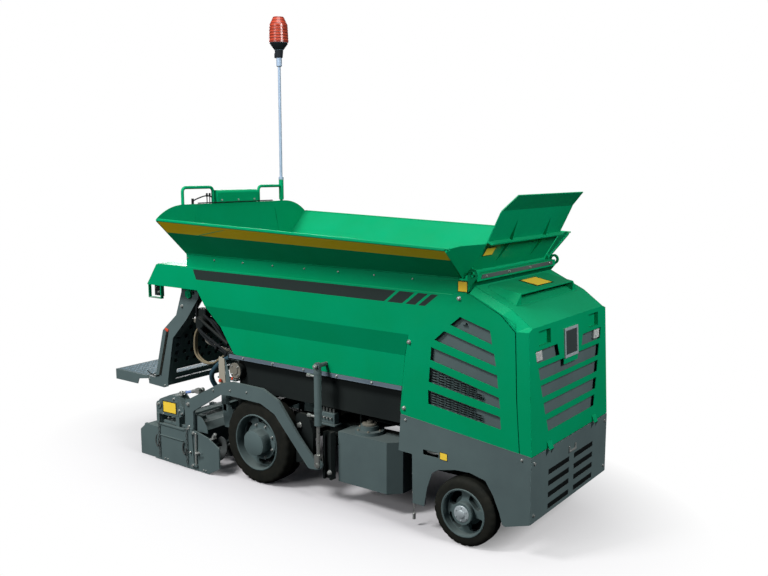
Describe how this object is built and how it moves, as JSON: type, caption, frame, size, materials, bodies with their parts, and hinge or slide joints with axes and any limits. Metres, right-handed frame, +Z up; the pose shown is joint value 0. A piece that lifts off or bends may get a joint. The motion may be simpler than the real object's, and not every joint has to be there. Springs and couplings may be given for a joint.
{
  "type": "asphalt paver",
  "caption": "Compact wheeled asphalt paver: mix hopper with flared wings over a conveyor trough, tilting engine hood, tow arms, screed, auger, folding rear step and warning beacon.",
  "frame": {"origin": "on the ground, under the middle of the machine's bounding box", "axes": "+X forward, towards the engine hood; +Y to the machine's left; +Z up"},
  "size_m": [3.956, 1.6, 3.4799],
  "materials": {
    "green_paint": "gloss enamel, weathered",
    "grey_paint": "satin enamel",
    "dark_steel": "satin, dusty",
    "bright_steel": "bright drawn bar",
    "worn_steel": "worn bare plate",
    "mast_tube": "pale galvanised tube",
    "amber_lens": "ribbed amber dome",
    "lamp_glass": "clear moulded lens",
    "solid_rubber": "solid rubber, dusty"
  },
  "bodies": {
    "chassis": {"chassis_frame": "dark_steel", "engine_block": "dark_steel", "conveyor_trough": "dark_steel", "hopper_sides": "green_paint", "hopper_wings": "green_paint", "hopper_rear_wall": "green_paint", "rear_deck": "green_paint", "hopper_front_wall": "green_paint", "side_panels": "green_paint", "louvre_inserts": "dark_steel", "side_skirts": "grey_paint", "front_skirt": "grey_paint", "lifting_eyes": "green_paint", "side_tanks": "dark_steel", "handles": "green_paint", "console": "green_paint", "beacon_mast": "mast_tube", "beacon_lens": "amber_lens", "rear_platform": "grey_paint", "front_axle": "dark_steel", "rear_axle": "dark_steel", "levelling_cylinders": "dark_steel"},
    "hood": {"hood_shell": "green_paint", "hood_grille": "dark_steel", "hood_lamps": "lamp_glass", "badge_plate": "green_paint"},
    "flap": {"apron_flap": "green_paint"},
    "step": {"rear_step": "grey_paint"},
    "knuckle_right": {"knuckle_right": "dark_steel"},
    "knuckle_left": {"knuckle_left": "dark_steel"},
    "tie_rod": {"tie_rod": "bright_steel"},
    "front_wheel_right": {"front_tyre_right": "solid_rubber", "front_rim_right": "grey_paint"},
    "front_wheel_left": {"front_tyre_left": "solid_rubber", "front_rim_left": "grey_paint"},
    "rear_wheel_right": {"rear_tyre_right": "solid_rubber", "rear_rim_right": "grey_paint"},
    "rear_wheel_left": {"rear_tyre_left": "solid_rubber", "rear_rim_left": "grey_paint"},
    "tow_points": {"tow_points": "bright_steel"},
    "screed": {"tow_arms": "grey_paint", "screed_body": "worn_steel", "end_plates": "grey_paint", "screed_drives": "grey_paint"},
    "auger": {"auger": "worn_steel"}
  },
  "joints": [
    {"name": "steer_right", "type": "hinge", "parent": "chassis", "child": "knuckle_right", "pos_m": [1.53, -0.425, 0.21], "axis": [0, 0, 1], "range_deg": [-28, 28]},
    {"name": "steer_left", "type": "hinge", "parent": "chassis", "child": "knuckle_left", "pos_m": [1.53, 0.425, 0.21], "axis": [0, 0, 1], "range_deg": [-28, 28]},
    {"name": "tie_rod_pivot", "type": "hinge", "parent": "knuckle_right", "child": "tie_rod", "pos_m": [1.4, -0.425, 0.21], "axis": [0, 0, 1], "range_deg": [-28, 28]},
    {"name": "front_wheel_spin_right", "type": "hinge", "parent": "knuckle_right", "child": "front_wheel_right", "pos_m": [1.53, -0.5125, 0.21], "axis": [0, 1, 0], "continuous": true},
    {"name": "front_wheel_spin_left", "type": "hinge", "parent": "knuckle_left", "child": "front_wheel_left", "pos_m": [1.53, 0.5125, 0.21], "axis": [0, 1, 0], "continuous": true},
    {"name": "rear_wheel_spin_right", "type": "hinge", "parent": "chassis", "child": "rear_wheel_right", "pos_m": [-0.19, -0.48, 0.305], "axis": [0, 1, 0], "continuous": true},
    {"name": "rear_wheel_spin_left", "type": "hinge", "parent": "chassis", "child": "rear_wheel_left", "pos_m": [-0.19, 0.48, 0.305], "axis": [0, 1, 0], "continuous": true},
    {"name": "hood_tilt", "type": "hinge", "parent": "chassis", "child": "hood", "pos_m": [1.97, 0, 0.633], "axis": [0, 1, 0], "range_deg": [0, 75]},
    {"name": "flap_fold", "type": "hinge", "parent": "chassis", "child": "flap", "pos_m": [1.504, 0, 1.64], "axis": [0, 1, 0], "range_deg": [-105, 20]},
    {"name": "step_fold", "type": "hinge", "parent": "chassis", "child": "step", "pos_m": [-1.56, 0, 0.554], "axis": [0, 1, 0], "range_deg": [0, 90]},
    {"name": "levelling_lift", "type": "slide", "parent": "chassis", "child": "tow_points", "axis": [0, 0, 1], "range_m": [0, 0.08]},
    {"name": "screed_lift", "type": "hinge", "parent": "tow_points", "child": "screed", "pos_m": [0.412, 0, 0.275], "axis": [0, 1, 0], "range_deg": [0, 5]},
    {"name": "auger_spin", "type": "hinge", "parent": "chassis", "child": "auger", "pos_m": [-0.66, 0, 0.14], "axis": [0, 1, 0], "continuous": true}
  ],
  "couplings": [
    {"joint": "steer_left", "follows": "steer_right", "ratio": 1},
    {"joint": "tie_rod_pivot", "follows": "steer_right", "ratio": -1}
  ]
}
